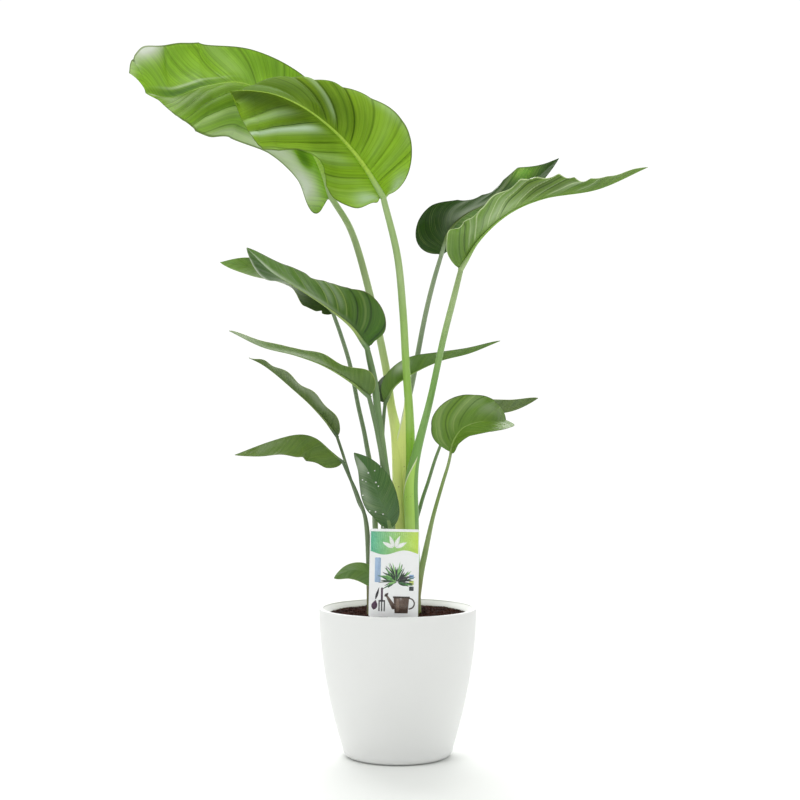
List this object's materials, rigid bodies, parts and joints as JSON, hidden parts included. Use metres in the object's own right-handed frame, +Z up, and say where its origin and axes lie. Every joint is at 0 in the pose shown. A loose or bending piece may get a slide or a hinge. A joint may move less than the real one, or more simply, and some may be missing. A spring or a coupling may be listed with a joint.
{
  "type": "potted bird of paradise",
  "caption": "Young bird of paradise plant with paddle-shaped leaves on long stalks, growing in a round tapered pot filled with soil, with a plant label.",
  "frame": {"origin": "centre of the pot's flat underside, on the ground", "axes": "+Z up along the pot's axis, the leaves fan out along X, the label stands at the front on the -Y side"},
  "size_m": [0.7857, 0.4175, 1.1266],
  "materials": {
    "pot_plastic": "smooth white, satin to matt",
    "potting_soil": "crumbly dark brown potting soil",
    "label_card": "thin printed plastic card",
    "blade_bright": "fresh lime green leaf, thin, waxy and a little translucent",
    "blade_green": "mid green leaf, waxy with parallel veins",
    "blade_dark": "dark green leaf, waxy and glossy",
    "stalk_bright": "pale yellow-green fleshy stalk, smooth",
    "stalk_green": "grey-green fleshy stalk, smooth"
  },
  "bodies": {
    "root": {"pot": "pot_plastic", "soil": "potting_soil", "plant_label": "label_card", "leaf_01_stalk": "stalk_bright", "leaf_01_blade": "blade_bright", "leaf_02_stalk": "stalk_bright", "leaf_02_blade": "blade_bright", "leaf_03_stalk": "stalk_green", "leaf_03_blade": "blade_dark", "leaf_04_stalk": "stalk_bright", "leaf_04_blade": "blade_green", "leaf_05_stalk": "stalk_green", "leaf_05_blade": "blade_green", "leaf_06_stalk": "stalk_green", "leaf_06_blade": "blade_dark", "leaf_07_stalk": "stalk_green", "leaf_07_blade": "blade_green", "leaf_08_stalk": "stalk_green", "leaf_08_blade": "blade_green", "leaf_09_stalk": "stalk_green", "leaf_09_blade": "blade_dark", "leaf_10_stalk": "stalk_green", "leaf_10_blade": "blade_green", "leaf_11_stalk": "stalk_green", "leaf_11_blade": "blade_green", "leaf_12_stalk": "stalk_green", "leaf_12_blade": "blade_green", "leaf_13_stalk": "stalk_green", "leaf_13_blade": "blade_dark", "leaf_14_stalk": "stalk_green", "leaf_14_blade": "blade_green"}
  },
  "joints": []
}
